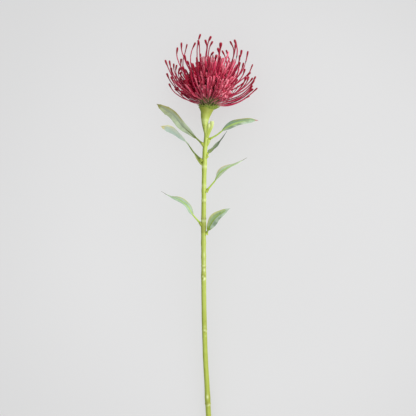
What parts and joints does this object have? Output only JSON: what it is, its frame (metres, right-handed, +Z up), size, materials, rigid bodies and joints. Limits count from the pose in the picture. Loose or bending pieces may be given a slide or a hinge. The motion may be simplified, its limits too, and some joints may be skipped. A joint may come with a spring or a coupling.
{
  "type": "pincushion protea flower",
  "caption": "Cut pincushion protea stem lying on its side: a round head of long curved styles over a green neck, on a slender leafy stem.",
  "frame": {"origin": "middle of the bounding box's bottom face, on the surface that the flower lies on", "axes": "+Y runs along the stem from its cut end to the flower head, +Z is up off the surface, +X is to the right when looking down on it with the head away"},
  "size_m": [0.1116, 0.4476, 0.0975],
  "materials": {
    "stem_skin": "satin",
    "bract": "matte",
    "style": "satin",
    "leaf": "satin"
  },
  "bodies": {
    "root": {"stem": "stem_skin", "involucre": "bract", "flower_head": "style", "leaf_1": "leaf", "leaf_2": "leaf", "leaf_3": "leaf", "leaf_4": "leaf", "leaf_5": "leaf", "leaf_6": "leaf", "leaf_7": "leaf"}
  },
  "joints": []
}
